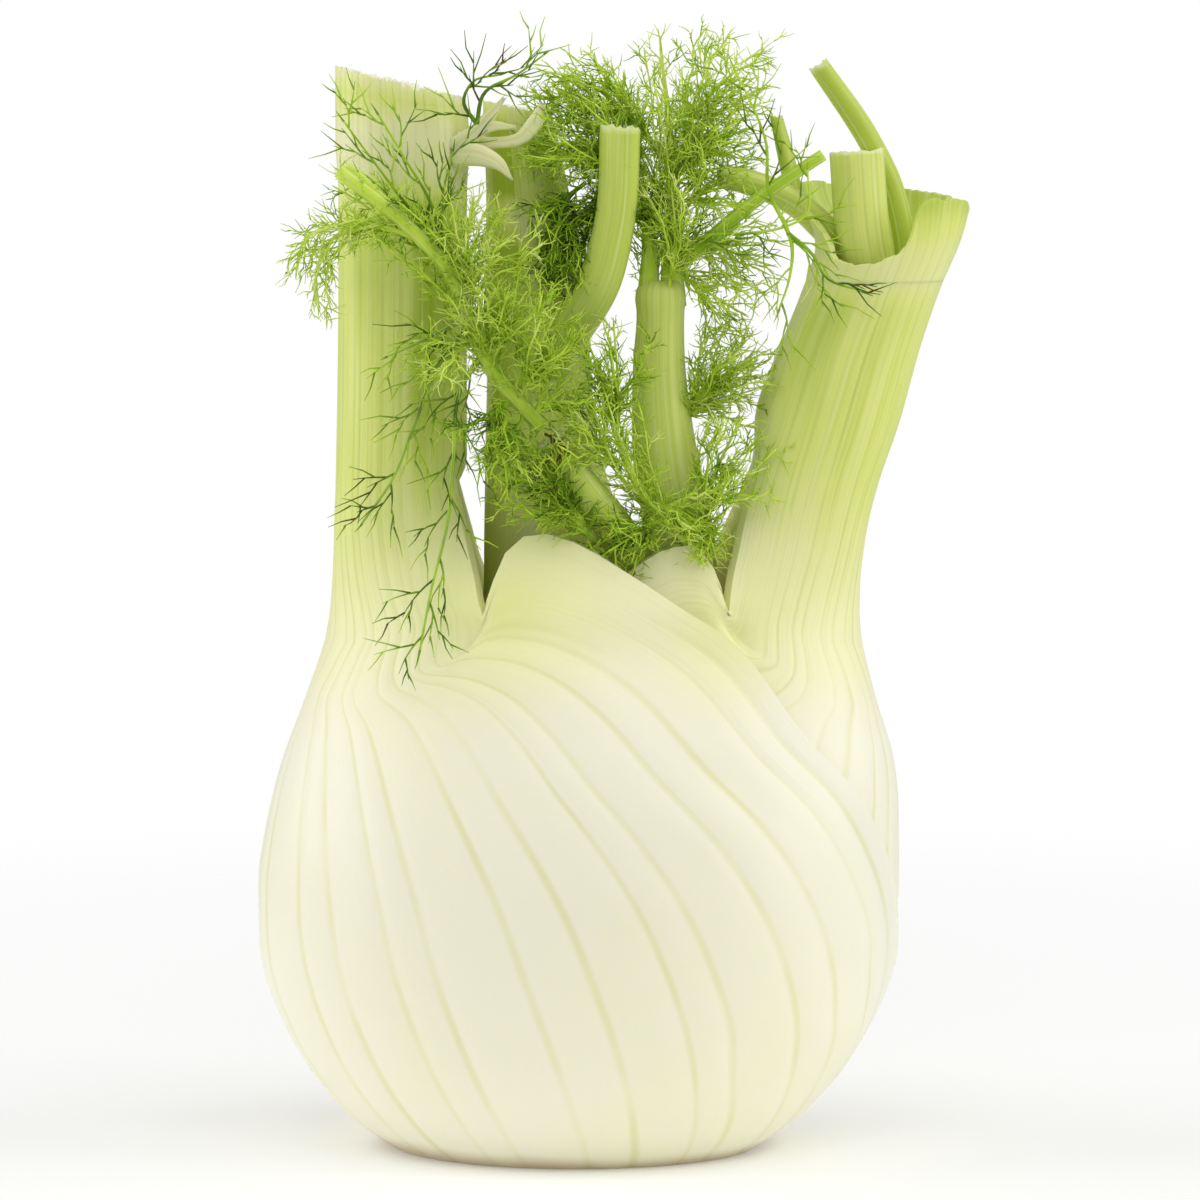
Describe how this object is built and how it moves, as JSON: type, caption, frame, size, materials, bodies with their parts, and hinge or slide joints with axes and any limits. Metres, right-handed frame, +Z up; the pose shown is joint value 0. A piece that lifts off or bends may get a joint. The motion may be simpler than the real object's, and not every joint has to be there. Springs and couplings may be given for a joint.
{
  "type": "fennel bulb",
  "caption": "Squat white fennel bulb of clasping ribbed leaf bases, green stalks cut short above it and feathery fronds between them.",
  "frame": {"origin": "middle of the flat cut base", "axes": "+Z up along the stalks, -Y the side the picture shows, +X towards the leaning stalk"},
  "size_m": [0.11, 0.0754, 0.1758],
  "materials": {
    "left_leaf": "satin",
    "right_leaf": "satin",
    "back_leaf": "satin",
    "heart_leaf": "satin",
    "shoot_frond": "matte",
    "shoot_side_frond": "matte",
    "heart_frond": "matte",
    "middle_frond": "matte",
    "upper_side_frond": "matte",
    "lower_side_frond": "matte",
    "torn_sprig": "matte"
  },
  "bodies": {
    "root": {"left_leaf": "left_leaf", "right_leaf": "right_leaf", "back_leaf": "back_leaf", "heart_leaf": "heart_leaf", "shoot_frond": "shoot_frond", "shoot_side_frond": "shoot_side_frond", "heart_frond": "heart_frond", "middle_frond": "middle_frond", "upper_side_frond": "upper_side_frond", "lower_side_frond": "lower_side_frond", "torn_sprig": "torn_sprig"}
  },
  "joints": []
}
